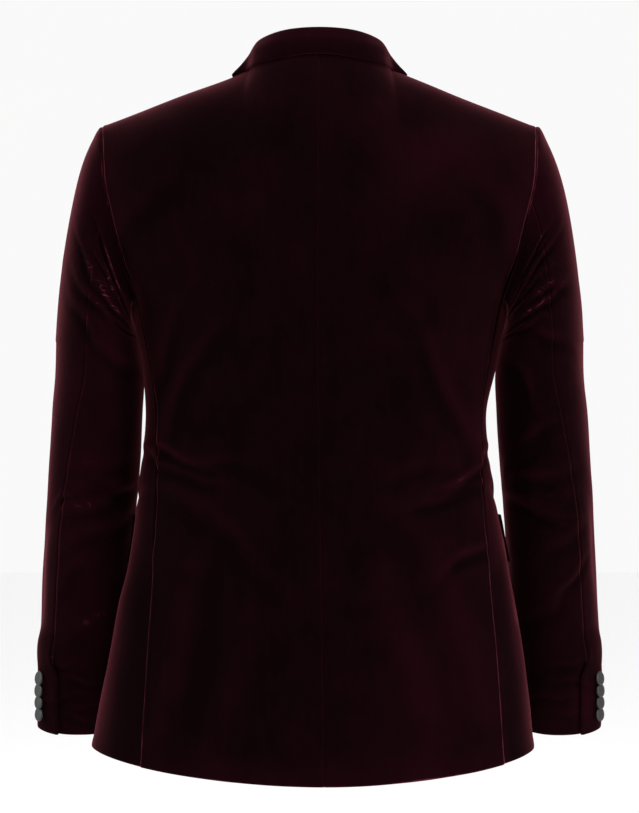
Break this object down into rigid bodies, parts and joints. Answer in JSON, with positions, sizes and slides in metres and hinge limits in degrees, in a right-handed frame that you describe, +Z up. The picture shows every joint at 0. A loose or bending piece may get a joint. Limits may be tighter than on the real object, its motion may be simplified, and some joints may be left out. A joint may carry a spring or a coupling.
{
  "type": "suit jacket",
  "caption": "Tailored velvet jacket held open and hollow as if worn, with two-piece sleeves, folded collar, notch lapels, hip flaps and two side vents.",
  "frame": {"origin": "midway between the two points where the shoulder seams meet the collar, where the wearer's shoulders carry the jacket", "axes": "+Z up along the centre back, +X to the wearer's left, +Y to the wearer's back"},
  "size_m": [0.5948, 0.2744, 0.7485],
  "materials": {
    "velvet": "dark burgundy cotton velvet with a short pile",
    "satin_button": "dark grey satin-covered button"
  },
  "bodies": {
    "root": {"back_left": "velvet", "back_right": "velvet", "side_left": "velvet", "side_right": "velvet", "front_left": "velvet", "front_right": "velvet", "lapel_left": "velvet", "lapel_right": "velvet", "pocket_flap_left": "velvet", "pocket_flap_right": "velvet", "top_sleeve_left": "velvet", "top_sleeve_right": "velvet", "under_sleeve_left": "velvet", "under_sleeve_right": "velvet", "collar": "velvet", "front_button": "satin_button", "cuff_button_left_1": "satin_button", "cuff_button_left_2": "satin_button", "cuff_button_left_3": "satin_button", "cuff_button_left_4": "satin_button", "cuff_button_right_1": "satin_button", "cuff_button_right_2": "satin_button", "cuff_button_right_3": "satin_button", "cuff_button_right_4": "satin_button"}
  },
  "joints": []
}
